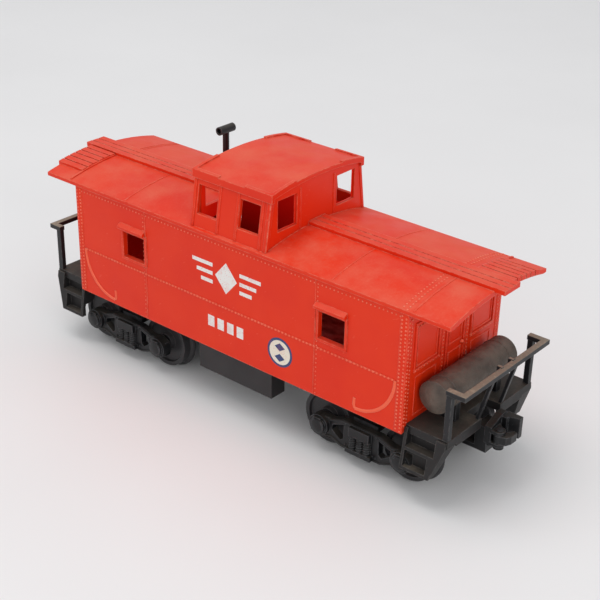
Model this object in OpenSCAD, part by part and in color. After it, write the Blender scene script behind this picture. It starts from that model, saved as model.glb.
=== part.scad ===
// O gauge model caboose: hollow moulded body on a black underframe, two swivelling
// four-wheel trucks with truck-mounted couplers, end platforms, railings and steps.
// Origin: on the rail plane under the centre of the car. +X is the end with the tank.

/* [Body] */
// Length of the body over its end walls
body_l = 150; // [140:1:160]
// Width of the body over its side walls
body_w = 53.6; // [52:0.2:56]
// Height of the body's lower edge above the rail
body_z = 23.8; // [23.6:0.1:26]
// Height of the main eave above the rail
eave_z = 67.5; // [62:0.1:70]
// Thickness of the moulded walls
wall = 1.6; // [1.2:0.1:2]

/* [Main roof] */
// Length of the main roof over both overhangs
roof_l = 180.4; // [176:0.2:184]
// Width of the main roof over its eaves
roof_w = 54.4; // [54:0.2:57]
// Rise of the roof's arch from eave to crown
roof_rise = 3.5; // [3:0.1:5]
// Depth of the eave's edge
fascia = 1.3; // [1.2:0.1:2.4]
// Length of the roofwalk over both ends
walk_l = 188; // [184:1:192]
// Width of the three-board roofwalk
walk_w = 8.6; // [8:0.2:12]

/* [Cupola] */
// Length of the cupola over its end walls
cupola_l = 33.8; // [30:0.2:38]
// Width of the cupola at its foot
cupola_foot_w = 52; // [50:0.2:53]
// Width of the cupola under its eaves
cupola_top_w = 46.2; // [44:0.2:48]
// Height of the cupola's eave above the rail
cupola_eave_z = 87; // [84:0.2:90]
// Rise of the cupola roof's arch
cupola_rise = 2.3; // [2:0.1:4]

/* [End platforms] */
// Length of each end platform beyond the body
platform_l = 16; // [14:0.2:17]
// Width of each end platform
platform_w = 49; // [46:0.2:50]
// Height of the platform's top above the rail
platform_z = 26.6; // [25:0.1:27]
// Height of the steps' lowest edge above the rail
step_z = 11.8; // [10:0.2:13]
// Width across the steps of both sides
step_w = 55; // [54:0.2:56]
// Height of the end railing's top above the rail
rail_z = 44.5; // [40:0.5:48]
// Radius of the tank on the platform
tank_r = 5.6; // [4.5:0.1:5.8]
// Length of the tank over its domed ends
tank_l = 42; // [36:0.5:44]

/* [Trucks] */
// Distance between the two trucks' swivel centres
truck_spacing = 111.8; // [108:0.2:114]
// Distance between a truck's two axles
wheelbase = 33.8; // [32:0.2:35]
// Radius of a wheel's tread
tread_r = 9.85; // [9:0.05:10]
// Depth of the flange beyond the tread
flange_h = 1.2; // [0.8:0.1:1.4]
// Distance between the inner faces of a pair of wheels
back_to_back = 27.4; // [27:0.1:28]
// Radius of the axles
axle_r = 1.2; // [1:0.05:1.5]
// Radius of the king pins that hold the trucks
king_r = 1.5; // [1.2:0.05:1.8]

/* [Hidden] */
$fn = 48;

FRONT = 1;
REAR = -1;
RIGHT = -1;
LEFT = 1;

hl = body_l / 2;
hw = body_w / 2;
roof_hw = roof_w / 2;
crown_z = eave_z + roof_rise;
roof_r = (roof_hw * roof_hw + roof_rise * roof_rise) / (2 * roof_rise);
floor_t = 2.1;
floor_top = body_z + floor_t;
walk_top = crown_z + 1.2;
walk_t = 1.6;
roof_t = 1.7;
slat_h = 0.9;
slat_count = 6;
slat_reach = 1;
slat_l = 13.2;
slat_edge_y = 20.9;

cup_hl = cupola_l / 2;
cup_foot_z = crown_z - 3.2;
cup_wall = 1.4;
cup_roof_t = 1.4;
cup_over = 0.9;
cup_hw = cupola_top_w / 2 + 0.9;
cup_skirt = 2.5;
cup_crown = cupola_eave_z + cupola_rise;
cup_r = (cup_hw * cup_hw + cupola_rise * cupola_rise) / (2 * cupola_rise);

box_z = 11;

window_w = 10.8;
window_h = 9.9;
window_z = 50.7;
window_frame_w = 0.9;
window_xs = [-44.7, 46];
visor_x = 45.6;
cup_window_w = 9;
cup_window_z0 = 72.4;
cup_window_h = 10.2;
cup_window_end_y = 15.25;
cup_end_window_w = 9.7;
cup_end_window_h = 11;

platform_t = 2.8;
platform_end = hl + platform_l;
step_l = 11.2;
swing_room = 3.2;
truck_reach_y = 25.6;
truck_reach_z = 16.5;
tank_x = hl + tank_r + 1.1;
tank_z = 36.9;
rail_reach_front = 3.8;
rail_reach_rear = 2.2;
rail_hw = 24.6;
notch_hw = 5.6;

truck_x = truck_spacing / 2;
axle_x = wheelbase / 2;
axle_z = tread_r + flange_h;
wheel_w = 4.6;
run = 0.07;
frame_y = back_to_back / 2 + wheel_w + 1;
frame_t = 2.6;
bolster_z = 14.6;
bolster_t = 2;
boss_z = bolster_z + bolster_t + 0.3;
shank_t = 1.6;
head_x = 36;
head_z = 17.6;
head_h = 8.6;
jaw_h = 5.6;
lug_t = 1.1;
knuckle_x = head_x + 4.5;
knuckle_y = -3;
knuckle_r = 0.8;
screw_x = hl - 5.2;

// Extrudes a drawing of the YZ plane from x0 to x1
module along_x(x0, x1) {
    translate([x0, 0, 0]) rotate([90, 0, 90]) linear_extrude(x1 - x0) children();
}

// Extrudes a drawing of the XZ plane from y0 to y1
module along_y(y0, y1) {
    translate([0, y1, 0]) rotate([90, 0, 0]) linear_extrude(y1 - y0) children();
}

// A block given by its lowest and highest corners
module block(low, high) {
    translate(low) cube(high - low);
}

// A cylinder along Y from y0 to y1, about the point x, z
module round_y(x, z, r, y0, y1) {
    translate([x, y0, z]) rotate([-90, 0, 0]) cylinder(r = r, h = y1 - y0);
}

// Turns the children half round about Z for the rear end
module at_end(end) {
    rotate([0, 0, end == FRONT ? 0 : 180]) children();
}

// Puts the children at a truck's swivel centre, with local +X towards the car's end
module at_truck(end) {
    translate([end * truck_x, 0, 0]) at_end(end) children();
}

// ---- body shell ----

module arch(r, top, half) {
    intersection() {
        translate([0, top - r]) circle(r, $fn = 240);
        translate([-half, top - 12]) square([2 * half, 12]);
    }
}

module roof_section() {
    intersection() {
        arch(roof_r, crown_z, roof_hw);
        translate([-roof_hw, eave_z - fascia]) square([2 * roof_hw, fascia + roof_rise]);
    }
}

function cup_y(z) = cupola_foot_w / 2
    - (z - cup_foot_z) * (cupola_foot_w - cupola_top_w) / 2 / (cupola_eave_z - cup_foot_z);

module cupola_section(inset, low) {
    intersection() {
        polygon([[-cup_y(low) + inset, low], [-cup_y(crown_z + 25) + inset, crown_z + 25],
            [cup_y(crown_z + 25) - inset, crown_z + 25], [cup_y(low) - inset, low]]);
        translate([0, cup_crown - cup_r]) circle(cup_r - cup_roof_t - 0.03, $fn = 240);
    }
}

module side_window(x, side) {
    translate([x - window_w / 2, side > 0 ? hw - 6 : -hw - 6, window_z - window_h / 2])
        cube([window_w, 12, window_h]);
}

module window_frame(x, side) {
    along_y(side > 0 ? hw - 0.3 : -hw - 0.5, side > 0 ? hw + 0.5 : -hw + 0.3)
        difference() {
            translate([x - window_w / 2 - window_frame_w, window_z - window_h / 2 - window_frame_w])
                square([window_w + 2 * window_frame_w, window_h + 2 * window_frame_w]);
            translate([x - window_w / 2, window_z - window_h / 2])
                square([window_w, window_h]);
        }
}

// A sloping awning over a side window
module visor(x, side) {
    half = 6.3;
    z = window_z + window_h / 2 + window_frame_w;
    along_x(x - half, x + half)
        polygon([[side * (hw - 0.3), z + 2.2], [side * (hw - 0.3), z - 0.1],
            [side * (hw + 1.3), z - 0.1], [side * (hw + 1.6), z + 0.2], [side * (hw + 1.6), z + 1]]);
}

module roofwalk(end) {
    at_end(end) difference() {
        block([cup_hl - 0.5, -walk_w / 2, walk_top - walk_t], [walk_l / 2, walk_w / 2, walk_top]);
        for (side = [-1, 1])
            block([cup_hl, side * walk_w / 6 - 0.2, walk_top - 0.3],
                [walk_l / 2 + 1, side * walk_w / 6 + 0.2, walk_top + 1]);
    }
}

// The slatted boards across one half of the roof at one end
module cross_walk(end) {
    pitch = (slat_edge_y - walk_w / 2) / slat_count;
    at_end(end) along_x(roof_l / 2 + slat_reach - slat_l, roof_l / 2 + slat_reach) intersection() {
        difference() {
            translate([0, crown_z - roof_r]) circle(roof_r + slat_h, $fn = 240);
            translate([0, crown_z - roof_r]) circle(roof_r - 0.9, $fn = 240);
        }
        for (i = [0:slat_count - 1])
            translate([walk_w / 2 + 0.4 + i * pitch, eave_z - 1]) square([pitch - 0.5, 9]);
    }
}

module cupola_windows() {
    for (side = [-1, 1]) {
        for (x = [-10.3, 8.4])
            translate([-side * x - cup_window_w / 2, side > 0 ? 15 : -30, cup_window_z0])
                cube([cup_window_w, 15, cup_window_h]);
    }
    for (y = [-cup_window_end_y, cup_window_end_y])
        translate([-30, y - cup_end_window_w / 2, cup_window_z0 + 0.8])
            cube([60, cup_end_window_w, cup_end_window_h]);
}

// The space under the roof's overhang, which follows the arch
module overhang_hollow() {
    along_x(hl, roof_l / 2 + 5) intersection() {
        arch(roof_r - roof_t, crown_z - roof_t, roof_hw - 0.6);
        translate([-roof_hw, eave_z - 6]) square([roof_w, 12]);
    }
}

module screw_boss(end) {
    at_end(end) block([screw_x - 3.4, -3.4, floor_top], [hl - wall + 0.2, 3.4, floor_top + 4.2]);
}

module body_shell() {
    color("orangered") difference() {
        union() {
            difference() {
                union() {
                    block([-hl, -hw, body_z], [hl, hw, eave_z - fascia + 0.2]);
                    along_x(-roof_l / 2, roof_l / 2) roof_section();
                    along_x(-cup_hl, cup_hl) cupola_section(0, cup_foot_z - 1);
                    roofwalk(FRONT);
                    roofwalk(REAR);
                    cross_walk(FRONT);
                    cross_walk(REAR);
                    for (side = [-1, 1]) {
                        for (x = window_xs)
                            window_frame(-side * x, side);
                        for (x = [-visor_x, visor_x])
                            visor(x, side);
                    }
                }
                block([-hl + wall, -hw + wall, body_z - 1], [hl - wall, hw - wall, eave_z - 1.4]);
                along_x(-hl + wall, hl - wall) intersection() {
                    arch(roof_r - wall, crown_z - wall, hw - wall);
                    translate([-hw, eave_z - 6]) square([body_w, 12]);
                }
                along_x(-cup_hl + cup_wall, cup_hl - cup_wall)
                    cupola_section(cup_wall, cup_foot_z - 4);
                block([-hl - 1, -hw + wall, body_z - 1], [hl + 1, hw - wall, floor_top]);
                for (side = [-1, 1]) {
                    for (x = window_xs)
                        side_window(-side * x, side);
                }
                for (end = [FRONT, REAR])
                    at_end(end) overhang_hollow();
                cupola_windows();
            }
            screw_boss(FRONT);
            screw_boss(REAR);
        }
        for (end = [FRONT, REAR])
            translate([end * screw_x, 0, floor_top - 1]) cylinder(r = 1.13, h = 4.4);
        translate([-38, 14, eave_z - 4]) cylinder(r = 1.25, h = 10);
    }
}

// A raised strip that turns the corner of the cupola's roof
module corner_strip(sx, sy) {
    reach = 12;
    over = cup_hl + cup_over;
    intersection() {
        along_x(-over, over) difference() {
            translate([0, cup_crown - cup_r]) circle(cup_r + 0.5, $fn = 240);
            translate([0, cup_crown - cup_r]) circle(cup_r - 0.3, $fn = 240);
        }
        union() {
            block([min(sx * (over - reach), sx * over), min(sy * (cup_hw - 1.3), sy * cup_hw), 80],
                [max(sx * (over - reach), sx * over), max(sy * (cup_hw - 1.3), sy * cup_hw), 100]);
            block([min(sx * (over - 1.3), sx * over), min(sy * (cup_hw - reach), sy * cup_hw), 80],
                [max(sx * (over - 1.3), sx * over), max(sy * (cup_hw - reach), sy * cup_hw), 100]);
        }
    }
}

module cupola_roof() {
    over = cup_hl + cup_over;
    low = cupola_eave_z - cup_skirt;
    color("tomato") difference() {
        union() {
            along_x(-over, over) intersection() {
                translate([0, cup_crown - cup_r]) circle(cup_r, $fn = 240);
                translate([-cup_hw, low]) square([2 * cup_hw, 20]);
            }
            for (sx = [-1, 1]) {
                for (sy = [-1, 1])
                    corner_strip(sx, sy);
            }
        }
        along_x(-cup_hl - 0.05, cup_hl + 0.05) intersection() {
            translate([0, cup_crown - cup_r]) circle(cup_r - cup_roof_t, $fn = 240);
            translate([-cup_y(low) - 0.05, low - 1]) square([2 * cup_y(low) + 0.1, 20]);
        }
        along_x(-over - 1, over + 1) intersection() {
            translate([0, cup_crown - cup_r]) circle(cup_r - cup_roof_t, $fn = 240);
            translate([-cup_hw + 1.4, low - 1]) square([2 * cup_hw - 2.8, 20]);
        }
    }
}

module smoke_jack() {
    top = 86.4;
    color("dimgray") translate([-38, 14, 0]) {
        translate([0, 0, crown_z - 4.5]) cylinder(r = 1.2, h = top - crown_z + 4.5);
        difference() {
            translate([0, 0, crown_z - 2]) cylinder(r = 2.1, h = 1.9);
            translate([0, -14, 0]) along_x(-3, 3) translate([0, crown_z - roof_r])
                circle(roof_r + 0.03, $fn = 240);
        }
        difference() {
            round_y(0, top, 1.55, -3.7, 3.7);
            round_y(0, top, 1, -4, -1.9);
            round_y(0, top, 1, 1.9, 4);
        }
    }
}

// ---- underframe ----

module underframe() {
    color("dimgray") difference() {
        union() {
            block([-hl, -hw + wall + 0.1, body_z], [hl, hw - wall - 0.1, floor_top]);
            for (side = [-1, 1])
                block([-27, min(side * 3, side * 5.4), body_z - 2.6],
                    [27, max(side * 3, side * 5.4), body_z + 0.2]);
            for (end = [FRONT, REAR])
                translate([end * truck_x, 0, boss_z]) cylinder(r = 4, h = body_z - boss_z + 0.2);
        }
        for (end = [FRONT, REAR]) {
            translate([end * truck_x, 0, boss_z - 1]) cylinder(r = king_r + 0.03, h = 12);
            translate([end * screw_x, 0, body_z - 1]) cylinder(r = 1.2, h = 5);
        }
    }
}

module ballast_weight() {
    color("silver") block([-38, -16, floor_top + 0.02], [38, 16, floor_top + 3.4]);
}

module body_screws() {
    color("silver") for (end = [FRONT, REAR])
        translate([end * screw_x, 0, 0]) difference() {
            union() {
                translate([0, 0, body_z - 1]) cylinder(r = 2.2, h = 0.98);
                translate([0, 0, body_z - 0.5]) cylinder(r = 1.1, h = 5.7);
            }
            block([-2.4, -0.25, body_z - 1.5], [2.4, 0.25, body_z - 0.6]);
        }
}

module tool_box(side) {
    near = 15.6;
    far = 22.6;
    color("dimgray") {
        block([-17.2, min(side * near, side * far), box_z],
            [17.2, max(side * near, side * far), body_z - 0.02]);
    }
}

// ---- end platforms ----

module platform(end) {
    color("dimgray") at_end(end) difference() {
        union() {
            block([hl + 0.02, -platform_w / 2, platform_z - platform_t],
                [platform_end, platform_w / 2, platform_z]);
            block([platform_end - 1.6, -19.4, platform_z - platform_t - 0.9],
                [platform_end, 19.4, platform_z]);
        }
        block([platform_end - 5.5, -notch_hw, platform_z - 5], [platform_end + 1, notch_hw, platform_z + 1]);
    }
}

// Outline of a step's side plate, seen along X: y outwards, z up
function step_front(z) = step_w / 2 - 2.4 * (z - step_z) / (platform_z - step_z);

module steps(end, side) {
    top = platform_z - platform_t - 0.02;
    cheek_top = platform_z - 0.6;
    deck_edge = platform_w / 2;
    tread_t = 1.1;
    rise = (platform_z - step_z - tread_t) / 2;
    x0 = hl + 0.3;
    x_top = platform_end - 0.3;
    color("dimgray") at_end(end) mirror([0, side * end > 0 ? 0 : 1, 0]) intersection() {
        difference() {
            along_x(x0, x_top)
                polygon([[step_front(step_z), step_z], [step_front(cheek_top), cheek_top],
                    [deck_edge + 0.04, cheek_top], [deck_edge + 0.04, top], [19.6, top],
                    [19.6, top - 1.2], [step_w / 2 - 4, step_z]]);
            for (i = [0:1])
                block([x0 + 1.1, 24.6 - i * 1.6, step_z + tread_t + i * rise],
                    [x0 + step_l - 1.6 + 2.2 * i, 32, step_z + (i + 1) * rise + i * 10]);
            block([x0 - 1, 18, step_z - 1], [x0 + swing_room, truck_reach_y, truck_reach_z]);
        }
        along_y(18, 30)
            polygon([[x0, step_z], [x0 + step_l, step_z], [x_top, top], [x_top, platform_z],
                [x0, platform_z]]);
    }
}

module railing(end) {
    post = 2;
    rail_x = platform_end + (end == FRONT ? rail_reach_front : rail_reach_rear);
    color("dimgray") at_end(end) {
        for (side = [-1, 1]) {
            block([platform_end - post - 0.1, min(side * (rail_hw - post), side * (rail_hw - 0.2)), platform_z + 0.02],
                [platform_end - 0.1, max(side * (rail_hw - post), side * (rail_hw - 0.2)), rail_z - 0.4]);
            block([platform_end - post - 0.3, min(side * (rail_hw - 2.2), side * rail_hw), rail_z - 1.6],
                [rail_x + 1.1, max(side * (rail_hw - 2.2), side * rail_hw), rail_z]);
        }
        block([rail_x - 1.1, -rail_hw, rail_z - 1.6], [rail_x + 1.1, rail_hw, rail_z]);
        for (y = [-notch_hw - 1.1, notch_hw + 1.1])
            along_y(y - 0.55, y + 0.55)
                polygon([[rail_x - 0.9, rail_z - 1], [rail_x + 0.4, rail_z - 1],
                    [platform_end - 0.2, platform_z + 0.02], [platform_end - 1.4, platform_z + 0.02]]);
        for (y = [-2, 4.6])
            block([rail_x - 2.4, y, rail_z - 1.3], [rail_x - 0.5, y + 1.2, rail_z + 0.3]);
    }
}

module end_tank() {
    dome_r = 14;
    color("gray") translate([tank_x, 0, tank_z]) for (turn = [-90, 90])
        rotate([turn, 0, 0]) rotate_extrude($fn = 96) intersection() {
            square([tank_r, tank_l / 2]);
            translate([0, tank_l / 2 - dome_r]) circle(dome_r, $fn = 128);
        }
}

module tank_saddles() {
    color("dimgray") difference() {
        for (y = [-12, 12])
            block([tank_x - 4.2, y - 1.2, platform_z + 0.02], [tank_x + 4.2, y + 1.2, tank_z - 2.6]);
        round_y(tank_x, tank_z, tank_r + 0.02, -20, 20);
    }
}

// ---- trucks ----

module king_pin(end) {
    color("silver") translate([end * truck_x, 0, 0]) {
        translate([0, 0, bolster_z - 1.7]) cylinder(r = 3.2, h = 1.6);
        translate([0, 0, bolster_z - 0.4]) cylinder(r = king_r, h = floor_top - bolster_z + 0.9);
        translate([0, 0, floor_top + 0.02]) cylinder(r = 2.4, h = 0.8);
    }
}

module bolster(end) {
    color("silver") at_truck(end) difference() {
        union() {
            block([-5, -frame_y, bolster_z], [5, frame_y, bolster_z + bolster_t]);
            block([-5, -4.5, bolster_z], [9.5, 4.5, bolster_z + bolster_t]);
        }
        translate([0, 0, bolster_z - 1]) cylinder(r = king_r + run, h = 5);
        translate([7, 0, bolster_z - 1]) cylinder(r = 0.93, h = 5);
    }
}

// Half of a side frame's outline, for positive x: rail side up
function frame_half() = [[0, 15.4], [7.6, 15.4], [12.8, 13.6], [axle_x, 14], [axle_x + 3.2, 12.6],
    [axle_x + 3.9, 10], [axle_x + 3, 7], [axle_x, 5.9], [12.6, 6.4], [8.2, 4.7], [0, 4.6]];

module frame_window() {
    polygon([[7.2, 13.6], [12, 11.8], [12.2, 9.6], [8.6, 7.2], [7.4, 8]]);
}

module side_frame(end, side) {
    color("dimgray") at_truck(end) mirror([0, side * end > 0 ? 0 : 1, 0]) difference() {
        union() {
            along_y(frame_y + 0.02, frame_y + frame_t) difference() {
                union() {
                    polygon(frame_half());
                    mirror([1, 0]) polygon(frame_half());
                }
                frame_window();
                mirror([1, 0]) frame_window();
            }
            for (x = [-axle_x, axle_x]) {
                round_y(x, axle_z - 0.8, 3.9, frame_y + 0.5, frame_y + 4.2);
                round_y(x, axle_z - 0.8, 2.9, frame_y + 4, frame_y + 5.1);
            }
            for (x = [-3, 0, 3]) {
                translate([x, frame_y + 2.9, 6.4]) cylinder(r = 1.25, h = 5.4);
            }
            block([-5.2, frame_y + 2.4, 5], [5.2, frame_y + 4.4, 6.6]);
            block([-4.2, frame_y + 2.4, 11.6], [4.2, frame_y + 4.2, 14.8]);
        }
        for (x = [-axle_x, axle_x])
            round_y(x, axle_z, axle_r + run, frame_y - 1, frame_y + 3.8);
    }
}

module axle(index) {
    x = axle_centre(index);
    color("silver") round_y(x, axle_z, axle_r, -frame_y - 3.4, frame_y + 3.4);
}

// Axles are numbered from the front of the car
function axle_centre(index) = (index < 3 ? truck_x : -truck_x) + (index % 2 == 1 ? axle_x : -axle_x);

// Half section of a wheel: radius, then distance from its inner face
function wheel_section() = [[axle_r + 0.02, 0], [3, 0], [3.6, 1.1], [7.6, 1.1], [8.3, 0],
    [axle_z, 0], [axle_z, 0.6], [axle_z - 0.35, 1.15], [tread_r + 0.1, 1.5], [tread_r, 1.9],
    [tread_r - 0.15, wheel_w], [8.3, wheel_w], [7.9, 3.5], [3.6, 3.2], [3.1, wheel_w + 0.2],
    [axle_r + 0.02, wheel_w + 0.2]];

module wheel(index, side) {
    color("black") translate([axle_centre(index), side * back_to_back / 2, axle_z])
        rotate([-side * 90, 0, 0]) rotate_extrude($fn = 96) polygon(wheel_section());
}

// ---- couplers ----

module coupler(end) {
    z1 = head_z + head_h;
    jaw_z = head_z + jaw_h;
    color("dimgray") at_truck(end) difference() {
        union() {
            block([5, -3.6, bolster_z - shank_t], [head_x - 3, 3.6, bolster_z - 0.02]);
            block([head_x - 4, -3.6, bolster_z - shank_t], [head_x + 0.5, 3.6, head_z + 4.8]);
            along_x(head_x, head_x + 2.5)
                polygon([[-4.7, head_z], [4, head_z], [5.4, head_z + 1.2], [5.4, z1 - 1.4], [4.2, z1],
                    [1.6, z1], [-4.7, jaw_z + 0.6]]);
            block([head_x + 2.4, 1.2, head_z], [head_x + 4.4, 5.4, z1 - 0.6]);
            along_z(head_z + 0.6, z1 - 0.6)
                polygon([[head_x + 4, 2.2], [head_x + 7.9, 3.6], [head_x + 7.9, 5.4], [head_x + 4, 5.4]]);
            for (z = [head_z, jaw_z - lug_t])
                along_z(z, z + lug_t) {
                    translate([knuckle_x, knuckle_y]) circle(2);
                    polygon([[head_x + 2, -4.9], [knuckle_x, knuckle_y - 2],
                        [knuckle_x, knuckle_y + 2], [head_x + 2, 0.8]]);
                }
            translate([head_x + 2.6, 0.6, 14]) cylinder(r = 1.8, h = head_z - 13);
        }
        translate([knuckle_x, knuckle_y, head_z - 1]) cylinder(r = knuckle_r + 0.02, h = jaw_h + 2);
        translate([7, 0, bolster_z - 3]) cylinder(r = 0.93, h = 5);
    }
}

// Extrudes a drawing of the XY plane from z0 to z1
module along_z(z0, z1) {
    translate([0, 0, z0]) linear_extrude(z1 - z0) children();
}

module coupler_rivet(end) {
    color("silver") at_truck(end) translate([7, 0, 0]) {
        translate([0, 0, bolster_z - shank_t - 0.62]) cylinder(r = 1.7, h = 0.6);
        translate([0, 0, bolster_z - shank_t - 0.3]) cylinder(r = 0.9, h = bolster_t + shank_t + 0.6);
        translate([0, 0, bolster_z + bolster_t + 0.02]) cylinder(r = 1.5, h = 0.6);
    }
}

module knuckle(end) {
    gap = 0.25;
    color("gray") at_truck(end) along_z(head_z + lug_t + gap, head_z + jaw_h - lug_t - gap)
        difference() {
            union() {
                translate([knuckle_x, knuckle_y]) circle(1.9);
                polygon([[knuckle_x, knuckle_y - 1.9], [knuckle_x + 3.2, knuckle_y - 0.9],
                    [head_x + 8.5, knuckle_y + 1], [head_x + 8.6, 1.1], [head_x + 7.4, 1.7],
                    [head_x + 6.6, 0.4], [knuckle_x + 1.2, knuckle_y + 1.9],
                    [knuckle_x, knuckle_y + 1.9]]);
            }
            translate([knuckle_x, knuckle_y]) circle(knuckle_r + run);
        }
}

module knuckle_pin(end) {
    color("silver") at_truck(end) translate([knuckle_x, knuckle_y, head_z]) {
        translate([0, 0, -0.4]) cylinder(r = knuckle_r, h = jaw_h + 0.8);
        translate([0, 0, jaw_h + 0.02]) cylinder(r = 1.3, h = 0.5);
    }
}

body_shell();
cupola_roof();
smoke_jack();
underframe();
ballast_weight();
body_screws();
tool_box(RIGHT);  // tool_box_right
tool_box(LEFT);  // tool_box_left
platform(FRONT);  // platform_front
platform(REAR);  // platform_rear
steps(FRONT, RIGHT);  // steps_front_right
steps(FRONT, LEFT);  // steps_front_left
steps(REAR, RIGHT);  // steps_rear_right
steps(REAR, LEFT);  // steps_rear_left
railing(FRONT);  // railing_front
railing(REAR);  // railing_rear
end_tank();
tank_saddles();
king_pin(FRONT);  // king_pin_front
king_pin(REAR);  // king_pin_rear
bolster(FRONT);  // bolster_front
bolster(REAR);  // bolster_rear
side_frame(FRONT, RIGHT);  // side_frame_front_right
side_frame(FRONT, LEFT);  // side_frame_front_left
side_frame(REAR, RIGHT);  // side_frame_rear_right
side_frame(REAR, LEFT);  // side_frame_rear_left
coupler(FRONT);  // coupler_front
coupler(REAR);  // coupler_rear
coupler_rivet(FRONT);  // coupler_rivet_front
coupler_rivet(REAR);  // coupler_rivet_rear
knuckle(FRONT);  // knuckle_front
knuckle(REAR);  // knuckle_rear
knuckle_pin(FRONT);  // knuckle_pin_front
knuckle_pin(REAR);  // knuckle_pin_rear
axle(1);  // axle_1
axle(2);  // axle_2
axle(3);  // axle_3
axle(4);  // axle_4
wheel(1, RIGHT);  // wheel_1_right
wheel(1, LEFT);  // wheel_1_left
wheel(2, RIGHT);  // wheel_2_right
wheel(2, LEFT);  // wheel_2_left
wheel(3, RIGHT);  // wheel_3_right
wheel(3, LEFT);  // wheel_3_left
wheel(4, RIGHT);  // wheel_4_right
wheel(4, LEFT);  // wheel_4_left
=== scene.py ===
"""Looks of the O gauge model caboose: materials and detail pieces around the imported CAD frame."""

import math

import bmesh
import bpy
from mathutils import Matrix, Vector


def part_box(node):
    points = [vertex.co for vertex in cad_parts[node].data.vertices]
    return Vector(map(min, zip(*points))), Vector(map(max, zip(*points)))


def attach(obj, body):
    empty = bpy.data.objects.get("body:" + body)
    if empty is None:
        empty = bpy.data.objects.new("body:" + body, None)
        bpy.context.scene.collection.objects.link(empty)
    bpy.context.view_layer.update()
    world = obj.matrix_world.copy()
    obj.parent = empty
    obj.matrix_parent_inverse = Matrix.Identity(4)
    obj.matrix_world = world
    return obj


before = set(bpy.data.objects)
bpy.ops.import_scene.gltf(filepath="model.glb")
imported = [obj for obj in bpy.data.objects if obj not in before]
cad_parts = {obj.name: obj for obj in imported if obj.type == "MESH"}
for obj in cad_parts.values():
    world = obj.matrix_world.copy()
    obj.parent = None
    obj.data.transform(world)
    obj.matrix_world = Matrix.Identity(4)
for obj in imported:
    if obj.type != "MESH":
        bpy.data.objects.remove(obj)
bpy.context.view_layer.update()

MM = 0.001
RIGHT, LEFT = -1, 1
FRONT, REAR = 1, -1
ENDS = ((FRONT, "front"), (REAR, "rear"))
SIDES = ((RIGHT, "right"), (LEFT, "left"))


def box_mm(node):
    low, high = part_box(node)
    return Vector(low) / MM, Vector(high) / MM


# ---- sizes in millimetres: three from the frame, the rest as in the CAD ----

floor_high = box_mm("underframe")[1]
cup_high = box_mm("cupola_roof")[1]
tank_low, tank_high = box_mm("end_tank")

HALF_L = floor_high.x
HALF_W = floor_high.y + 1.7
BODY_Z = box_mm("body_shell")[0].z
EAVE_Z = 67.5
ROOF_RISE = 3.5
ROOF_HALF_W = 27.2
CROWN_Z = EAVE_Z + ROOF_RISE
ROOF_R = (ROOF_HALF_W**2 + ROOF_RISE**2) / (2 * ROOF_RISE)
WALK_HALF_W = 4.3
SLAT_INNER_X = 78.0
SLAT_OUTER_X = 90.0
SLAT_EDGE_Y = 20.7
CUP_HALF_L = cup_high.x - 0.9
CUP_FOOT_Z = CROWN_Z - 3.2
CUP_EAVE_Z = 87.0
CUP_FOOT_HALF_W = 26.0
CUP_TOP_HALF_W = 23.1
BELT_Z = 42.0
FASCIA = 1.3
SEAM_X = 39.0
TRUCK_X = 55.9
AXLE_X = 16.9
AXLE_Z = 11.05


def roof_z(y):
    """Height of the main roof's surface at y."""
    return CROWN_Z - ROOF_R + math.sqrt(ROOF_R**2 - y**2)


def cup_wall_y(z):
    """Distance of the cupola's leaning side wall from the centre line at height z."""
    return CUP_FOOT_HALF_W - (z - CUP_FOOT_Z) * (CUP_FOOT_HALF_W - CUP_TOP_HALF_W) / (CUP_EAVE_Z - CUP_FOOT_Z)


# ---- camera, light and floor ----

CAMERA_AT = (0.264607, -0.307249, 0.244109)
CAMERA_YAW = 39.602
CAMERA_PITCH = 27.263
CAMERA_ROLL = 1.32
CAMERA_F_OVER_W = 1274.657 / 600
SENSOR_MM = 36.0


def make_camera():
    data = bpy.data.cameras.new("camera")
    camera = bpy.data.objects.new("camera", data)
    bpy.context.collection.objects.link(camera)
    data.sensor_width = SENSOR_MM
    data.lens = SENSOR_MM * CAMERA_F_OVER_W
    data.clip_start = 0.01
    data.clip_end = 20
    aim = Matrix.Rotation(math.radians(CAMERA_YAW), 4, "Z") @ Matrix.Rotation(
        math.radians(90 - CAMERA_PITCH), 4, "X"
    )
    roll = Matrix.Rotation(math.radians(CAMERA_ROLL), 4, "Z")
    camera.matrix_world = Matrix.Translation(CAMERA_AT) @ aim @ roll
    bpy.context.scene.camera = camera


def area_light(name, at, target, size, watts, colour=(1, 1, 1)):
    data = bpy.data.lights.new(name, "AREA")
    data.shape = "RECTANGLE"
    data.size, data.size_y = size
    data.energy = watts
    data.color = colour
    light = bpy.data.objects.new(name, data)
    bpy.context.collection.objects.link(light)
    direction = Vector(target) - Vector(at)
    light.rotation_mode = "QUATERNION"
    light.rotation_quaternion = direction.to_track_quat("-Z", "Y")
    light.location = at
    return light


def make_light():
    world = bpy.data.worlds.new("studio")
    bpy.context.scene.world = world
    world.use_nodes = True
    background = world.node_tree.nodes["Background"]
    background.inputs["Color"].default_value = (0.97, 0.98, 1, 1)
    background.inputs["Strength"].default_value = 0.66
    area_light("key", (-0.2, -0.2, 1.3), (0, 0, 0.03), (0.75, 0.65), 5.7, (1, 0.99, 0.98))
    area_light("fill", (0.95, -0.45, 0.5), (0, 0, 0.04), (0.6, 0.5), 2.2)
    area_light("front", (0.3, -0.95, 0.45), (0, 0, 0.02), (0.7, 0.4), 0.8)


# ---- materials ----


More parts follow.
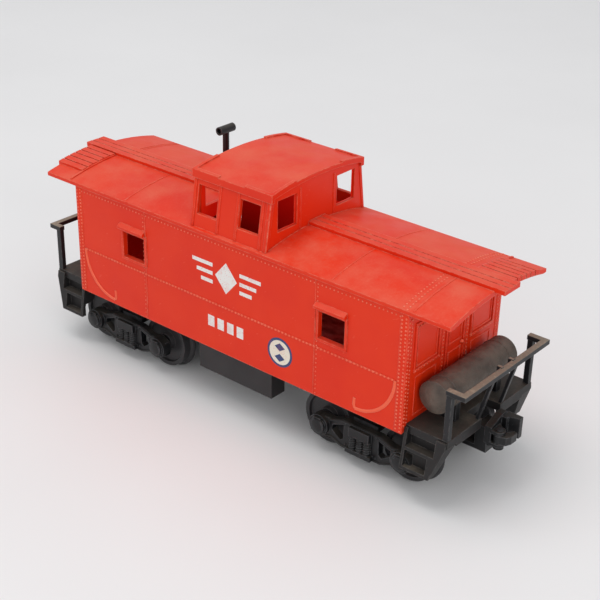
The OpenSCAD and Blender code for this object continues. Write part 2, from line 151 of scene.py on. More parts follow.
class Graph:
    """Builds one material's nodes."""

    def __init__(self, name):
        self.mat = bpy.data.materials.new(name)
        self.mat.use_nodes = True
        self.tree = self.mat.node_tree
        self.bsdf = self.tree.nodes["Principled BSDF"]

    def node(self, kind, **settings):
        made = self.tree.nodes.new(kind)
        for key, value in settings.items():
            setattr(made, key, value)
        return made

    def join(self, source, socket):
        if isinstance(source, (int, float)):
            socket.default_value = source
        elif isinstance(source, (tuple, list)):
            alpha = (1,) if len(source) == 3 and socket.type == "RGBA" else ()
            socket.default_value = tuple(source) + alpha
        else:
            self.tree.links.new(source, socket)

    def place(self, stretch=(1, 1, 1), turn=(0, 0, 0)):
        """Object coordinates in millimetres, turned and stretched."""
        coords = self.node("ShaderNodeTexCoord").outputs["Object"]
        mapping = self.node("ShaderNodeMapping")
        mapping.inputs["Scale"].default_value = [s / MM for s in stretch]
        if any(turn):
            spun = self.node("ShaderNodeMapping")
            spun.inputs["Rotation"].default_value = turn
            self.join(coords, spun.inputs["Vector"])
            coords = spun.outputs["Vector"]
        self.join(coords, mapping.inputs["Vector"])
        return mapping.outputs["Vector"]

    def noise(self, size_mm, detail=4, rough=0.55, stretch=(1, 1, 1), turn=(0, 0, 0)):
        made = self.node("ShaderNodeTexNoise")
        self.join(self.place(stretch, turn), made.inputs["Vector"])
        made.inputs["Scale"].default_value = 1 / size_mm
        made.inputs["Detail"].default_value = detail
        made.inputs["Roughness"].default_value = rough
        return made.outputs["Fac"]

    def ramp(self, value, low, high, to_low=0.0, to_high=1.0):
        made = self.node("ShaderNodeMapRange", clamp=True)
        self.join(value, made.inputs["Value"])
        for socket, number in zip(("From Min", "From Max", "To Min", "To Max"), (low, high, to_low, to_high)):
            made.inputs[socket].default_value = number
        return made.outputs["Result"]

    def math(self, operation, a, b=0.0):
        made = self.node("ShaderNodeMath", operation=operation)
        self.join(a, made.inputs[0])
        self.join(b, made.inputs[1])
        return made.outputs[0]

    def mix(self, factor, a, b):
        made = self.node("ShaderNodeMix", data_type="RGBA")
        self.join(factor, made.inputs["Factor"])
        self.join(a, made.inputs[6])
        self.join(b, made.inputs[7])
        return made.outputs[2]

    def facing_up(self):
        """1 where the surface looks straight up, 0 where it is upright."""
        normal = self.node("ShaderNodeNewGeometry").outputs["Normal"]
        split = self.node("ShaderNodeSeparateXYZ")
        self.join(normal, split.inputs[0])
        return split.outputs["Z"]

    def edges(self, radius_mm):
        """1 on sharp outer edges, 0 on flat faces."""
        bevel = self.node("ShaderNodeBevel", samples=6)
        bevel.inputs["Radius"].default_value = radius_mm * MM
        dot = self.node("ShaderNodeVectorMath", operation="DOT_PRODUCT")
        self.join(bevel.outputs["Normal"], dot.inputs[0])
        self.join(self.node("ShaderNodeNewGeometry").outputs["Normal"], dot.inputs[1])
        return self.ramp(dot.outputs["Value"], 0.995, 0.86)

    def hollows(self, distance_mm):
        """1 in corners and narrow gaps, 0 in the open."""
        shade = self.node("ShaderNodeAmbientOcclusion", samples=6)
        shade.inputs["Distance"].default_value = distance_mm * MM
        return self.ramp(shade.outputs["AO"], 0.85, 0.35)

    def bump(self, height, strength, distance_mm, before=None):
        made = self.node("ShaderNodeBump")
        made.inputs["Strength"].default_value = strength
        made.inputs["Distance"].default_value = distance_mm * MM
        self.join(height, made.inputs["Height"])
        if before is not None:
            self.join(before, made.inputs["Normal"])
        return made.outputs["Normal"]

    def finish(self, colour, roughness, normal, specular=0.5):
        self.join(colour, self.bsdf.inputs["Base Color"])
        self.join(roughness, self.bsdf.inputs["Roughness"])
        self.join(normal, self.bsdf.inputs["Normal"])
        self.bsdf.inputs["Specular IOR Level"].default_value = specular
        return self.mat


INSIDE = 1.2


def painted_light_inside(g, painted_glow):
    """Painted light: red emission standing in for the light that the thin walls let in, on the faces inside
    the cupola and upper body only.
    """
    place = g.node("ShaderNodeTexCoord").outputs["Object"]
    split = g.node("ShaderNodeSeparateXYZ")
    g.join(place, split.inputs[0])
    inside = g.ramp(split.outputs["Z"], (CUP_FOOT_Z - 24) * MM, (CUP_FOOT_Z + 2) * MM)
    body_x, body_y = HALF_L - INSIDE, HALF_W - INSIDE
    roof_line = roof_z(body_y) - 0.2
    for axis, low_limit, high_limit in (("X", body_x, CUP_HALF_L - 0.9), ("Y", body_y, CUP_TOP_HALF_W - 0.9)):
        above = g.math("GREATER_THAN", split.outputs["Z"], roof_line * MM)
        limit = g.ramp(above, 0, 1, low_limit * MM, high_limit * MM)
        within = g.math("LESS_THAN", g.math("ABSOLUTE", split.outputs[axis]), limit)
        inside = g.math("MULTIPLY", inside, within)
    inside = g.math("MULTIPLY", inside, g.math("LESS_THAN", split.outputs["Z"], (CUP_EAVE_Z - 0.4) * MM))
    g.bsdf.inputs["Emission Color"].default_value = (*painted_glow, 1)
    g.join(inside, g.bsdf.inputs["Emission Strength"])


MOULD_EDGE = 0.35


def moulded_plastic(
    name,
    base,
    deep,
    dust,
    dust_amount,
    wear,
    wear_amount,
    gloss=0.36,
    specular=0.5,
    painted_glow=None,
    even=0.0,
    lumps=0.0,
    drift_mm=26,
    drift_amount=0.5,
):
    """Moulded plastic: colour drift, painted shade with grime in hollows, dust on upward faces, pale rubbed
    edges, scratches, fine bump.

    even spreads the dust out, lumps makes the surface uneven, and the emission colour lights the cupola's
    inside with painted light.
    """
    g = Graph(name)
    drift = g.ramp(g.noise(drift_mm, 4), 0.35, 0.65)
    colour = g.mix(g.math("MULTIPLY", drift, drift_amount), base, deep)
    # Darker colour in corners and narrow gaps, taken from the occlusion mask: painted shade, broken up by
    # noise like grime.
    shade_and_grime = g.math("MULTIPLY", g.hollows(1.3), g.ramp(g.noise(3, 4), 0.25, 0.65, 0.15, 0.6))
    colour = g.mix(shade_and_grime, colour, tuple(c * 0.42 for c in deep))

    cloud = g.ramp(g.noise(15, 6, 0.62), 0.36, 0.68)
    speck = g.ramp(g.noise(0.9, 3, 0.7), 0.5, 0.72)
    up = g.ramp(g.facing_up(), 0.35, 0.98)
    patches = g.math("ADD", g.math("MULTIPLY", cloud, 0.75), g.math("MULTIPLY", speck, 0.25))
    layer = g.ramp(speck, 0, 1, even * 0.8, even * 1.25)
    powder = g.math("MULTIPLY", up, g.math("MAXIMUM", patches, layer))
    colour = g.mix(g.math("MULTIPLY", powder, dust_amount), colour, dust)

    rubbed = g.math("MULTIPLY", g.edges(MOULD_EDGE * 1.6), g.ramp(g.noise(2.2, 5, 0.65), 0.35, 0.7))
    colour = g.mix(g.math("MULTIPLY", rubbed, wear_amount), colour, wear)
    scratch_a = g.ramp(g.noise(1.1, 2, 0.5, (0.05, 1, 1), (0.3, 0.5, 0.4)), 0.71, 0.74)
    scratch_b = g.ramp(g.noise(0.9, 2, 0.5, (1, 0.7, 0.06), (0.5, -0.6, 0.3)), 0.72, 0.75)
    scratches = g.math("MAXIMUM", scratch_a, scratch_b)
    colour = g.mix(g.math("MULTIPLY", scratches, 0.16 * wear_amount), colour, wear)

    rough = g.ramp(g.noise(7, 5), 0.3, 0.7, gloss - 0.05, gloss + 0.1)
    rough = g.math("ADD", rough, g.math("MULTIPLY", powder, 0.3))
    rough = g.math("ADD", rough, g.math("MULTIPLY", scratches, 0.1))
    bevel = g.node("ShaderNodeBevel", samples=4)
    bevel.inputs["Radius"].default_value = MOULD_EDGE * MM
    normal = g.bump(g.noise(0.35, 3, 0.6), 0.12, 0.03, bevel.outputs["Normal"])
    normal = g.bump(g.noise(9, 2), 0.25, 0.12, normal)
    if lumps:
        normal = g.bump(g.noise(3.5, 4), 0.6, lumps, normal)
    # Painted light: red emission on the faces inside the cupola and upper body.
    if painted_glow:
        painted_light_inside(g, painted_glow)
    return g.finish(colour, rough, normal, specular=specular)


def dull_steel(name, bright, stained):
    g = Graph(name)
    brushed = g.noise(0.5, 4, 0.6, (0.15, 1, 1))
    stain = g.ramp(g.noise(4, 5), 0.42, 0.68)
    colour = g.mix(stain, bright, stained)
    g.bsdf.inputs["Metallic"].default_value = 0.9
    rough = g.ramp(brushed, 0.3, 0.7, 0.32, 0.55)
    return g.finish(colour, rough, g.bump(brushed, 0.2, 0.05))


def printed_ink(name, colour, worn, amount):
    """Pad-printed ink, with flecks where the plastic shows through."""
    g = Graph(name)
    flecks = g.ramp(g.noise(0.55, 4, 0.7), 0.58, 0.66)
    thin = g.ramp(g.noise(3.2, 3), 0.5, 0.75, 0, 0.35)
    shown = g.math("MULTIPLY", g.math("MAXIMUM", flecks, thin), amount)
    rough = g.ramp(g.noise(1.5, 3), 0.3, 0.7, 0.42, 0.58)
    return g.finish(g.mix(shown, colour, worn), rough, g.bump(g.noise(0.3, 2), 0.15, 0.02))


def studio_floor():
    g = Graph("studio_floor")
    paper = g.ramp(g.noise(160, 3), 0.3, 0.7)
    colour = g.mix(paper, (0.80, 0.795, 0.795), (0.83, 0.825, 0.825))
    return g.finish(colour, 0.55, g.bump(g.noise(1.2, 3), 0.05, 0.05), specular=0.3)


RED = (0.78, 0.033, 0.004)
RED_DEEP = (0.70, 0.016, 0.003)
red_plastic = moulded_plastic(
    "red_plastic",
    base=RED,
    deep=RED_DEEP,
    dust=(0.74, 0.24, 0.15),
    dust_amount=0.45,
    wear=(0.95, 0.34, 0.22),
    wear_amount=0.7,
    specular=0.24,
    # Red emission colour laid on the inside faces of the cupola: painted light.
    painted_glow=(0.19, 0.0006, 0.0006),
)
# A lighter copy of the red plastic for the rivet heads and arc ribs, which are moulded in the same plastic:
# its lighter base is painted highlight as well as wear.
red_highlight_and_wear = moulded_plastic(
    "red_highlight_and_wear",
    base=(0.90, 0.13, 0.055),
    deep=(0.80, 0.06, 0.022),
    dust=(0.80, 0.34, 0.24),
    dust_amount=0.5,
    wear=(0.95, 0.42, 0.30),
    wear_amount=0.6,
    specular=0.32,
)
black_plastic = moulded_plastic(
    "black_plastic",
    base=(0.008, 0.008, 0.009),
    deep=(0.004, 0.004, 0.005),
    dust=(0.15, 0.125, 0.095),
    dust_amount=0.5,
    wear=(0.15, 0.15, 0.16),
    wear_amount=0.85,
    specular=0.38,
)
wheel_plastic = moulded_plastic(
    "wheel_plastic",
    base=(0.030, 0.028, 0.030),
    deep=(0.016, 0.015, 0.017),
    dust=(0.11, 0.09, 0.075),
    dust_amount=0.4,
    wear=(0.16, 0.15, 0.15),
    wear_amount=0.6,
    gloss=0.4,
    specular=0.35,
)
box_plastic = moulded_plastic(
    "box_plastic",
    base=(0.030, 0.027, 0.028),
    deep=(0.02, 0.018, 0.019),
    dust=(0.15, 0.125, 0.10),
    dust_amount=0.5,
    wear=(0.16, 0.15, 0.15),
    wear_amount=0.5,
    gloss=0.45,
    specular=0.35,
)
tank_plastic = moulded_plastic(
    "tank_plastic",
    base=(0.125, 0.096, 0.074),
    deep=(0.060, 0.046, 0.037),
    dust=(0.25, 0.20, 0.155),
    dust_amount=0.65,
    wear=(0.3, 0.27, 0.24),
    wear_amount=0.5,
    gloss=0.55,
    lumps=1.3,
    drift_mm=5,
    drift_amount=0.9,
)
rail_plastic = moulded_plastic(
    "rail_plastic",
    base=(0.013, 0.013, 0.015),
    deep=(0.007, 0.007, 0.008),
    dust=(0.46, 0.385, 0.285),
    dust_amount=1.0,
    wear=(0.17, 0.165, 0.16),
    wear_amount=0.8,
    gloss=0.42,
    specular=0.35,
    even=0.65,
)
deck_plastic = moulded_plastic(
    "deck_plastic",
    base=(0.020, 0.018, 0.018),
    deep=(0.012, 0.011, 0.011),
    dust=(0.20, 0.165, 0.125),
    dust_amount=0.62,
    wear=(0.16, 0.15, 0.14),
    wear_amount=0.7,
    gloss=0.5,
    specular=0.3,
    even=0.3,
)
steel = dull_steel("dull_steel", (0.42, 0.41, 0.4), (0.13, 0.11, 0.095))
dark_steel = dull_steel("dark_steel", (0.10, 0.10, 0.105), (0.03, 0.028, 0.027))
white_ink = printed_ink("white_ink", (0.82, 0.80, 0.77), RED, 0.75)
cream_ink = printed_ink("cream_ink", (0.80, 0.74, 0.62), RED, 0.5)
navy_ink = printed_ink("navy_ink", (0.02, 0.05, 0.16), RED, 0.4)

PREFIX_MATERIAL = (
    ("body_shell", red_plastic),
    ("cupola_roof", red_plastic),
    ("tool_box", box_plastic),
    ("end_tank", tank_plastic),
    ("railing", rail_plastic),
    ("platform", deck_plastic),
    ("steps", deck_plastic),
    ("wheel_", wheel_plastic),
    ("axle_", steel),
    ("king_pin", steel),
    ("bolster", dark_steel),
    ("coupler_rivet", steel),
    ("knuckle_pin", dark_steel),
    ("body_screws", steel),
    ("ballast", steel),
)


def node_material(name):
    for prefix, material in PREFIX_MATERIAL:
        if name.startswith(prefix):
            return material
    return black_plastic


def dress_nodes():
    for name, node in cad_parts.items():
        node.data.materials.clear()
        node.data.materials.append(node_material(name))


# ---- mesh building, in millimetres ----


class Piece:
    """Gathers closed solids into one mesh and adds it to the scene."""

    def __init__(self):
        self.bm = bmesh.new()

    def block(self, low, high):
        corners = [(x, y, z) for x in (low[0], high[0]) for y in (low[1], high[1]) for z in (low[2], high[2])]
        verts = [self.bm.verts.new(c) for c in corners]
        for face in ((0, 1, 3, 2), (4, 6, 7, 5), (0, 4, 5, 1), (2, 3, 7, 6), (0, 2, 6, 4), (1, 5, 7, 3)):
            self.bm.faces.new([verts[i] for i in face])

    def prism(self, outline, place, near, far):
        """Extrudes an outline from depth near to depth far; place(a, b, depth) gives a point."""
        rings = [[self.bm.verts.new(place(a, b, depth)) for a, b in outline] for depth in (near, far)]
        count = len(outline)
        for i in range(count):
            j = (i + 1) % count
            self.bm.faces.new((rings[0][i], rings[0][j], rings[1][j], rings[1][i]))
        self.bm.faces.new(rings[0][::-1])
        self.bm.faces.new(rings[1])

    def dome(self, at, normal, radius, height=None, sides=8):
        """A low rivet head whose foot is sunk a little below the surface."""
        height = height or radius * 0.75
        turn = Vector(normal).to_track_quat("Z", "Y").to_matrix()
        at = Vector(at)
        rings = []
        for share, up in ((1.0, -0.15), (1.0, 0.1), (0.72, 0.72)):
            ring = []
            for i in range(sides):
                angle = 2 * math.pi * i / sides
                reach = radius * share
                local = Vector((math.cos(angle) * reach, math.sin(angle) * reach, up * height))
                ring.append(self.bm.verts.new(at + turn @ local))
            rings.append(ring)
        top = self.bm.verts.new(at + turn @ Vector((0, 0, height)))
        for low, high in zip(rings, rings[1:]):
            for i in range(sides):
                j = (i + 1) % sides
                self.bm.faces.new((low[i], low[j], high[j], high[i]))
        for i in range(sides):
            self.bm.faces.new((rings[-1][i], rings[-1][(i + 1) % sides], top))
        self.bm.faces.new(rings[0][::-1])

    def tube(self, path, radius, sides=8, closed=False, flatten=None):
        """A round bar along a path of points; flatten squashes it along that direction to half."""
        points = [Vector(p) for p in path]
        count = len(points)
        rings = []
        for i, point in enumerate(points):
            before = points[i - 1] if i or closed else points[0]
            after = points[(i + 1) % count] if i < count - 1 or closed else points[-1]
            along = (after - before).normalized()
            side = along.cross(Vector(flatten) if flatten else Vector((0, 0, 1)))
            if side.length < 1e-4:
                side = along.cross(Vector((0, 1, 0)))
            side.normalize()
            up = side.cross(along).normalized()
            squash = 0.5 if flatten else 1
            rings.append(
                [
                    self.bm.verts.new(
                        point
                        + side * radius * math.cos(2 * math.pi * k / sides)
                        + up * radius * squash * math.sin(2 * math.pi * k / sides)
                    )
                    for k in range(sides)
                ]
            )
        for i in range(count if closed else count - 1):
            low, high = rings[i], rings[(i + 1) % count]
            for k in range(sides):
                m = (k + 1) % sides
                self.bm.faces.new((low[k], low[m], high[m], high[k]))
        if not closed:
            self.bm.faces.new(rings[0][::-1])
            self.bm.faces.new(rings[-1])

    def add(self, name, body, material, slot, bevel=0.0):
        for vert in self.bm.verts:
            vert.co *= MM
        bmesh.ops.recalc_face_normals(self.bm, faces=self.bm.faces)
        mesh = bpy.data.meshes.new(name)
        self.bm.to_mesh(mesh)
        self.bm.free()
        mesh.materials.append(material)
        piece = bpy.data.objects.new(name, mesh)
        bpy.context.collection.objects.link(piece)
        if bevel:
            cut = piece.modifiers.new("rounding", "BEVEL")
            cut.width = bevel * MM
            cut.segments = 2
            cut.limit_method = "ANGLE"
            cut.angle_limit = math.radians(40)
        mesh.shade_smooth()
        flat = piece.modifiers.new("edges", "EDGE_SPLIT")
        flat.split_angle = math.radians(50)
        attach(piece, body)
        return piece


def rectangle(low_a, low_b, high_a, high_b):
    """The four corners of a rectangle, in the order that a prism's outline needs."""
    return [(low_a, low_b), (high_a, low_b), (high_a, high_b), (low_a, high_b)]


def steps_between(start, end, pitch):
    """Evenly spaced values from start to end, about a pitch apart."""
    count = max(1, round(abs(end - start) / pitch))
    return [start + (end - start) * i / count for i in range(count + 1)]


# ---- car sides ----

RIVET = 0.36
RIB_PROUD = 0.14
BELT_HALF_L = 71.5
ARC_X, ARC_REACH, ARC_DROP = 56.5, 15, 16.3
ARC_TICK = ((56.4, 25.8), (55.9, 27.1), (56.1, 29.6))
CORNER_PLATE_W = 2.9
WALL_TOP_Z = EAVE_Z - FASCIA


def side_ribs():
    """Belt line, its curved ends, seams and corner plates on both sides."""
    arcs = Piece()
    plates = Piece()
    for side, _ in SIDES:
        wall = side * HALF_W
        thin = side * RIB_PROUD
        plates.block((-BELT_HALF_L, wall - thin, BELT_Z - 0.3), (BELT_HALF_L, wall + thin, BELT_Z + 0.3))
        for end in (-1, 1):
            arc = [
                (end * (ARC_X + ARC_REACH * math.cos(a)), wall, BELT_Z - ARC_DROP * math.sin(a))
                for a in [math.radians(3 * i) for i in range(31)]
            ]
            arcs.tube(arc, 0.6, 8, flatten=(0, 1, 0))
            arcs.tube([(end * x, wall, z) for x, z in ARC_TICK], 0.55, 8, flatten=(0, 1, 0))
            plates.block(
                (end * SEAM_X - 0.22, wall - thin, BODY_Z + 0.2),
                (end * SEAM_X + 0.22, wall + thin, WALL_TOP_Z - 0.1),
            )
            low, high = sorted((end * (HALF_L - CORNER_PLATE_W), end * (HALF_L + 0.1)))
            plates.block((low, wall - side, BODY_Z + 0.05), (high, wall + thin, WALL_TOP_Z - 0.1))
    # The arcs take the lighter red rivet plastic: painted highlight as well as wear.
    arcs.add("side_arcs", "car", red_highlight_and_wear, "red_plastic")
    plates.add("side_plates", "car", red_plastic, "red_plastic", 0.08)


def side_rivets():
    piece = Piece()
    for side, _ in SIDES:
        wall = side * (HALF_W + 0.02)
        normal = (0, side, 0)
        for x in steps_between(-70.5, 70.5, 1.5):
            piece.dome((x, side * (HALF_W + RIB_PROUD), BELT_Z), normal, RIVET * 1.1)
        for x in steps_between(-72, 72, 1.6):
            piece.dome((x, wall, WALL_TOP_Z - 1.4), normal, RIVET * 0.8)
        for end in (-1, 1):
            for z in steps_between(BODY_Z + 1, WALL_TOP_Z - 2.6, 1.65):
                piece.dome((end * (SEAM_X + 0.9), wall, z), normal, RIVET * 0.75)
            for z in steps_between(BODY_Z + 0.8, WALL_TOP_Z - 1.6, 1.35):
                piece.dome((end * (HALF_L - 0.65), wall + side * 0.12, z), normal, RIVET)
                piece.dome((end * (HALF_L - 2.2), wall + side * 0.12, z + 0.6), normal, RIVET)
    return piece.add("side_rivets", "car", red_highlight_and_wear, "red_plastic")


# ---- end walls ----

PANEL_NEAR_Y, PANEL_FAR_Y = 8.6, 22.6
PANEL_LOW_Z, PANEL_HIGH_Z = 44.4, 61.6
LOWER_PANEL_LOW_Z, LOWER_PANEL_HIGH_Z = 28.2, 42.4
DOOR_HALF_W, DOOR_TOP_Z = 5.4, 61.8
DOOR_PANEL_HALF_W = 3.6

def ring_frame(piece, place, low, high, width, near, far):
    """A rectangular frame from four bars; place(a, b, depth) gives a point."""
    (a0, b0), (a1, b1) = low, high
    for bar in (
        (a0, b0, a1, b0 + width),
        (a0, b1 - width, a1, b1),
        (a0, b0 + width, a0 + width, b1 - width),
        (a1 - width, b0 + width, a1, b1 - width),
    ):
        x0, y0, x1, y1 = bar
        piece.prism([(x0, y0), (x1, y0), (x1, y1), (x0, y1)], place, near, far)


def end_walls():
    piece = Piece()
    rivets = Piece()
    for end, _ in ENDS:
        def place(y, z, depth, end=end):
            return (end * (HALF_L + depth), y, z)

        bottom = floor_high.z
        for side in (-1, 1):
            low, high = sorted((side * PANEL_NEAR_Y, side * PANEL_FAR_Y))
            ring_frame(piece, place, (low, PANEL_LOW_Z), (high, PANEL_HIGH_Z), 0.9, -0.3, 0.5)
            inner_low, inner_high = PANEL_LOW_Z + 1.5, PANEL_HIGH_Z - 1.5
            ring_frame(piece, place, (low + 1.5, inner_low), (high - 1.5, inner_high), 0.5, -0.3, 0.25)
            lower, upper = (low + 1.2, LOWER_PANEL_LOW_Z), (high - 1.2, LOWER_PANEL_HIGH_Z)
            ring_frame(piece, place, lower, upper, 0.5, -0.3, 0.2)
            strip = sorted((side * (HALF_W - 2.6), side * (HALF_W + 0.06)))
            piece.prism(rectangle(strip[0], bottom, strip[1], 64), place, -0.5, 0.16)
            strip = sorted((side * 6.2, side * 7.6))
            piece.prism(rectangle(strip[0], bottom, strip[1], 65), place, -0.3, 0.22)
            for z in steps_between(bottom + 0.8, 63.2, 1.35):
                rivets.dome(place(side * (HALF_W - 0.7), z, 0.14), (end, 0, 0), RIVET)
                rivets.dome(place(side * (HALF_W - 2), z + 0.6, 0.14), (end, 0, 0), RIVET * 0.8)
                rivets.dome(place(side * 6.9, z, 0.22), (end, 0, 0), RIVET * 0.8)
            for z in (45.2, 60.8):
                for y in steps_between(side * 9.2, side * 22, 1.6):
                    rivets.dome(place(y, z - 0.3, 0.5), (end, 0, 0), RIVET * 0.6)
        ring_frame(piece, place, (-DOOR_HALF_W, bottom), (DOOR_HALF_W, DOOR_TOP_Z), 0.8, -0.3, 0.45)
        ring_frame(piece, place, (-DOOR_PANEL_HALF_W, 46.2), (DOOR_PANEL_HALF_W, 59.6), 0.6, -0.3, 0.3)
        ring_frame(piece, place, (-DOOR_PANEL_HALF_W, 29), (DOOR_PANEL_HALF_W, 43.6), 0.6, -0.3, 0.3)
        rivets.dome(place(3.9 * end, 44.9, 0.2), (end, 0, 0), 0.7, 0.9, 12)
    piece.add("end_wall_frames", "car", red_plastic, "red_plastic", 0.1)
    rivets.add("end_wall_rivets", "car", red_highlight_and_wear, "red_plastic")


# ---- main roof ----


def roof_strip(piece, x, width, y0, y1, proud):
    """A strip across the roof at x, following its curve from y0 to y1."""
    ys = steps_between(y0, y1, 1.5)
    outline = [(y, roof_z(y) + proud) for y in ys] + [(y, roof_z(y) - 0.2) for y in reversed(ys)]
    piece.prism(outline, lambda y, z, depth: (depth, y, z), x - width / 2, x + width / 2)


def roof_detail():
    ribs = Piece()
    rivets = Piece()
    reach = ROOF_HALF_W - 0.7
    inner = WALK_HALF_W + 0.3
    for side in (-1, 1):
        for x in (-49 if side < 0 else -75, 45):
            roof_strip(ribs, x, 0.5, side * inner, side * reach, 0.14)
        roof_strip(ribs, 76.4 * -side, 0.6, side * inner, side * reach, 0.16)
        roof_strip(ribs, SLAT_INNER_X * side, 0.8, side * inner, side * reach, 0.5)
        roof_strip(
            ribs,
            (SLAT_INNER_X + SLAT_OUTER_X) / 2 * side,
            SLAT_OUTER_X - SLAT_INNER_X,
            side * (WALK_HALF_W + 0.6),
            side * SLAT_EDGE_Y,
            0.5,
        )
        for y in steps_between(side * (inner + 0.8), side * (reach - 0.6), 1.45):
            slope = Vector((0, y, ROOF_R)).normalized()
            for x, shift in ((72.4, 0), (74.2, 0.7)):
                at_y = y + side * shift
                rivets.dome((x, at_y, roof_z(at_y)), slope, RIVET * 0.95)
    ribs.add("roof_ribs", "car", red_plastic, "red_plastic", 0.08)
    rivets.add("roof_rivets", "car", red_highlight_and_wear, "red_plastic")


# ---- cupola ----

CUP_PILASTERS = (-4.9, 3.2, 13.9)
CUP_WALL_TOP = CUP_EAVE_Z - 2.6


def cupola_detail():
    piece = Piece()
    for side, _ in SIDES:
        def lean(x, z, depth, side=side):
            return (x, side * (cup_wall_y(z) + depth), z)

        for x in CUP_PILASTERS:
            centre = -side * x
            post = rectangle(centre - 0.5, CUP_FOOT_Z, centre + 0.5, CUP_WALL_TOP)
            piece.prism(post, lean, -0.4, 0.25)
        for x in (-CUP_HALF_L + 0.6, CUP_HALF_L - 0.6):
            piece.prism(rectangle(x - 0.6, CUP_FOOT_Z, x + 0.6, CUP_WALL_TOP), lean, -0.4, 0.3)
    for end, _ in ENDS:
        def upright(y, z, depth, end=end):
            return (end * (CUP_HALF_L + depth), y, z)

        for side in (-1, 1):
            low, high = sorted((side * 8.4, side * 9.2))
            piece.prism(rectangle(low, 71.4, high, 85.6), upright, -0.3, 0.25)
        for side in (-1, 1):
            corner = [
                (side * (cup_wall_y(CUP_FOOT_Z) - 1.2), CUP_FOOT_Z),
                (side * cup_wall_y(CUP_FOOT_Z), CUP_FOOT_Z),
                (side * cup_wall_y(CUP_WALL_TOP), CUP_WALL_TOP),
                (side * (cup_wall_y(CUP_WALL_TOP) - 1.2), CUP_WALL_TOP),
            ]
            piece.prism(corner, upright, -0.3, 0.3)
    piece.add("cupola_frames", "car", red_plastic, "red_plastic", 0.12)


# ---- printed marks: plain shapes, no lettering ----

INK_T = 0.05
INK_SINK = -0.02
WING_BARS = ((56.4, 9.5), (53.2, 7.5), (50.0, 5.5))
WING_BAR_H = 1.4
WING_INNER_X = 6.2
DIAMOND = ((0, 47.4), (5, 53.2), (0, 59), (-5, 53.2))
BLOCK_COUNT = 4
BLOCK_X, BLOCK_PITCH, BLOCK_W = -8.6, 4.5, 3
BLOCK_LOW_Z, BLOCK_HIGH_Z = 32.6, 36.8
BADGE_X, BADGE_Z = 24.4, 34
BADGE_RIM_R, BADGE_R = 5.4, 4.5
BADGE_LOZENGE = ((0, 0.5), (2.2, 2.0), (0, 3.5), (-2.2, 2.0))


def round_outline(cx, cz, radius, count=40):
    return [
        (cx + radius * math.cos(2 * math.pi * i / count), cz + radius * math.sin(2 * math.pi * i / count))
        for i in range(count)
    ]


def marks():
    """A winged diamond, four blocks and a round badge on each side."""
    white, cream, navy = Piece(), Piece(), Piece()
    for side, _ in SIDES:
        def wall(x, z, depth, side=side):
            return (-side * x, side * (HALF_W + depth), z)

        for sign in (-1, 1):
            for z, length in WING_BARS:
                x0, x1 = sorted((sign * WING_INNER_X, sign * (WING_INNER_X + length)))
                bar = rectangle(x0, z - WING_BAR_H / 2, x1, z + WING_BAR_H / 2)
                white.prism(bar, wall, INK_SINK, INK_T)
        white.prism(DIAMOND, wall, INK_SINK, INK_T)
        for i in range(BLOCK_COUNT):
            x0 = BLOCK_X + i * BLOCK_PITCH
            white.prism(rectangle(x0, BLOCK_LOW_Z, x0 + BLOCK_W, BLOCK_HIGH_Z), wall, INK_SINK, INK_T)
        navy.prism(round_outline(BADGE_X, BADGE_Z, BADGE_RIM_R), wall, INK_SINK, INK_T)
        cream.prism(round_outline(BADGE_X, BADGE_Z, BADGE_R), wall, 0, INK_T * 1.8)
        for sign in (-1, 1):
            lozenge = [(BADGE_X + x, BADGE_Z + sign * z) for x, z in BADGE_LOZENGE]
            navy.prism(lozenge, wall, 0, INK_T * 2.6)
    white.add("marks_white", "car", white_ink, "red_plastic")
    cream.add("marks_cream", "car", cream_ink, "red_plastic")
    navy.add("marks_navy", "car", navy_ink, "red_plastic")


# ---- trucks ----

FRAME_Y = 13.7 + 4.6 + 1
FRAME_T = 2.6
JOURNAL_REACH = 5.1
COIL_XS = (-3, 0, 3)
FRAME_OUTLINE = (
    (0, 15.4), (7.6, 15.4), (12.8, 13.6), (AXLE_X, 14), (AXLE_X + 3.2, 12.6), (AXLE_X + 3.9, 10),
    (AXLE_X + 3, 7), (AXLE_X, 5.9), (12.6, 6.4), (8.2, 4.7), (0, 4.6),
)


COIL_TURNS, COIL_STEPS = 5, 14
COIL_R = 1.25
COIL_LOW_Z, COIL_H = 6.8, 4.6


def inset(points, distance):
    """Moves a closed outline inwards by a distance."""
    count = len(points)
    moved = []
    for i in range(count):
        before = Vector(points[i - 1])
        here = Vector(points[i])
        after = Vector(points[(i + 1) % count])
        a = (here - before).normalized()
        b = (after - here).normalized()
        normal = Vector((a.y + b.y, -a.x - b.x)).normalized()
        moved.append(here + normal * distance / max(0.5, math.sqrt((1 + a.dot(b)) / 2)))
    return moved


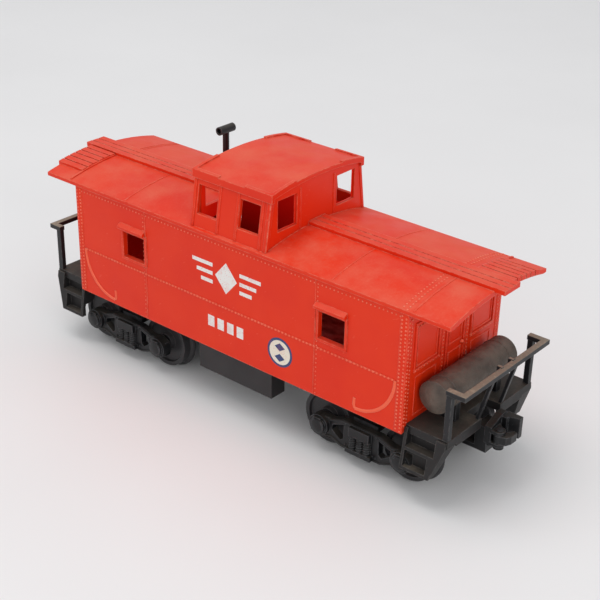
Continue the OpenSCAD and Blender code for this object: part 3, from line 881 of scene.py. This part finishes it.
def truck_detail(end, name):
    piece = Piece()
    coils = Piece()
    centre = end * TRUCK_X
    half = list(FRAME_OUTLINE)
    outline = half + [(-x, z) for x, z in reversed(half[1:-1])]
    for side in (-1, 1):
        face = side * (FRAME_Y + FRAME_T)
        rim = [(centre + p[0], face, p[1]) for p in inset(outline, 0.45)]
        piece.tube(rim, 0.42, 8, closed=True)
        for x in (-AXLE_X, AXLE_X):
            cx = centre + x
            lid = side * (FRAME_Y + JOURNAL_REACH)
            piece.dome((cx, lid, AXLE_Z - 0.8), (0, side, 0), 2.5, 0.5, 20)
            near, far = sorted((lid, lid - side * 2))
            piece.block((cx - 1.5, near, AXLE_Z + 1.5), (cx + 1.5, far - 0.02, AXLE_Z + 2.4))
            for dx in (-2.6, 2.6):
                piece.dome((cx + dx, side * (FRAME_Y + 4.2), AXLE_Z - 3.2), (0, side, 0), 0.42, 0.4)
        for x in (-6.3, 6.3):
            for z in (6.4, 14.2):
                piece.dome((centre + x, face, z), (0, side, 0), 0.5, 0.5)
        for x in COIL_XS:
            helix = []
            for i in range(COIL_TURNS * COIL_STEPS + 1):
                angle = 2 * math.pi * i / COIL_STEPS
                helix.append(
                    (
                        centre + x + COIL_R * math.cos(angle),
                        side * (FRAME_Y + 2.9) + COIL_R * math.sin(angle),
                        COIL_LOW_Z + COIL_H * i / (COIL_TURNS * COIL_STEPS),
                    )
                )
            coils.tube(helix, 0.27, 6)
    piece.add("truck_trim_" + name, "truck_" + name, black_plastic, "black_plastic", 0)
    coils.add("spring_coils_" + name, "truck_" + name, black_plastic, "black_plastic")


# ---- tank ----


BAND_Y = 15.2


def tank_detail():
    piece = Piece()
    centre = (tank_low + tank_high) / 2
    radius = (tank_high.z - tank_low.z) / 2
    for y in (-BAND_Y, BAND_Y):
        ring = [
            (centre.x + radius * math.cos(a), centre.y + y, centre.z + radius * math.sin(a))
            for a in [math.radians(7.5 * i) for i in range(48)]
        ]
        piece.tube(ring, 0.22, 6, closed=True)
    for x in (-1, 1):
        line = [(centre.x + x * radius, y, centre.z) for y in steps_between(-19, 19, 4)]
        piece.tube(line, 0.16, 6)
    piece.add("tank_bands", "car", tank_plastic, "grey_plastic")


FLOOR_HALF_M = 4


def make_floor():
    bm = bmesh.new()
    bmesh.ops.create_grid(bm, x_segments=8, y_segments=8, size=FLOOR_HALF_M)
    mesh = bpy.data.meshes.new("floor")
    bm.to_mesh(mesh)
    bm.free()
    mesh.materials.append(studio_floor())
    floor = bpy.data.objects.new("floor", mesh)
    bpy.context.collection.objects.link(floor)


make_camera()
make_light()
make_floor()
dress_nodes()
side_ribs()
side_rivets()
end_walls()
roof_detail()
cupola_detail()
marks()
for end_sign, end_name in ENDS:
    truck_detail(end_sign, end_name)
tank_detail()

bpy.context.scene.view_settings.view_transform = "Standard"
